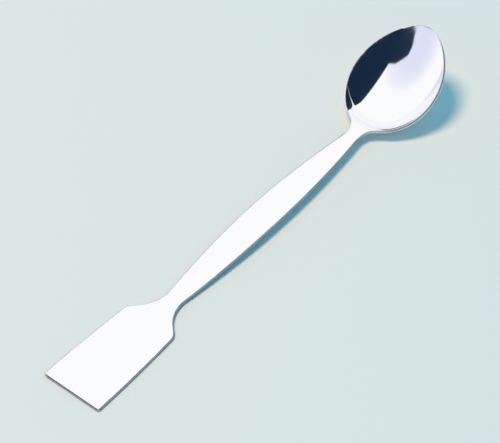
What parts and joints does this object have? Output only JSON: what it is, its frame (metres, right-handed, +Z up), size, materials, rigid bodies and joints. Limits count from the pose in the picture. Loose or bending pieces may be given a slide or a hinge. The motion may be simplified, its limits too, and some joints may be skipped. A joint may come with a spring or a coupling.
{
  "type": "lab spoon spatula",
  "caption": "Stainless steel lab spatula pressed from one strip: a flat blade at one end, a slim bowed handle, and a tilted oval spoon bowl at the other.",
  "frame": {"origin": "on the surface it lies on, under the middle of its length and on its centre line", "axes": "+X along the strip from the blade towards the bowl, +Y across it, +Z up out of the bowl"},
  "size_m": [0.18, 0.0336, 0.0246],
  "materials": {
    "steel": "polished stainless steel"
  },
  "bodies": {
    "root": {"spoon_spatula": "steel"}
  },
  "joints": []
}
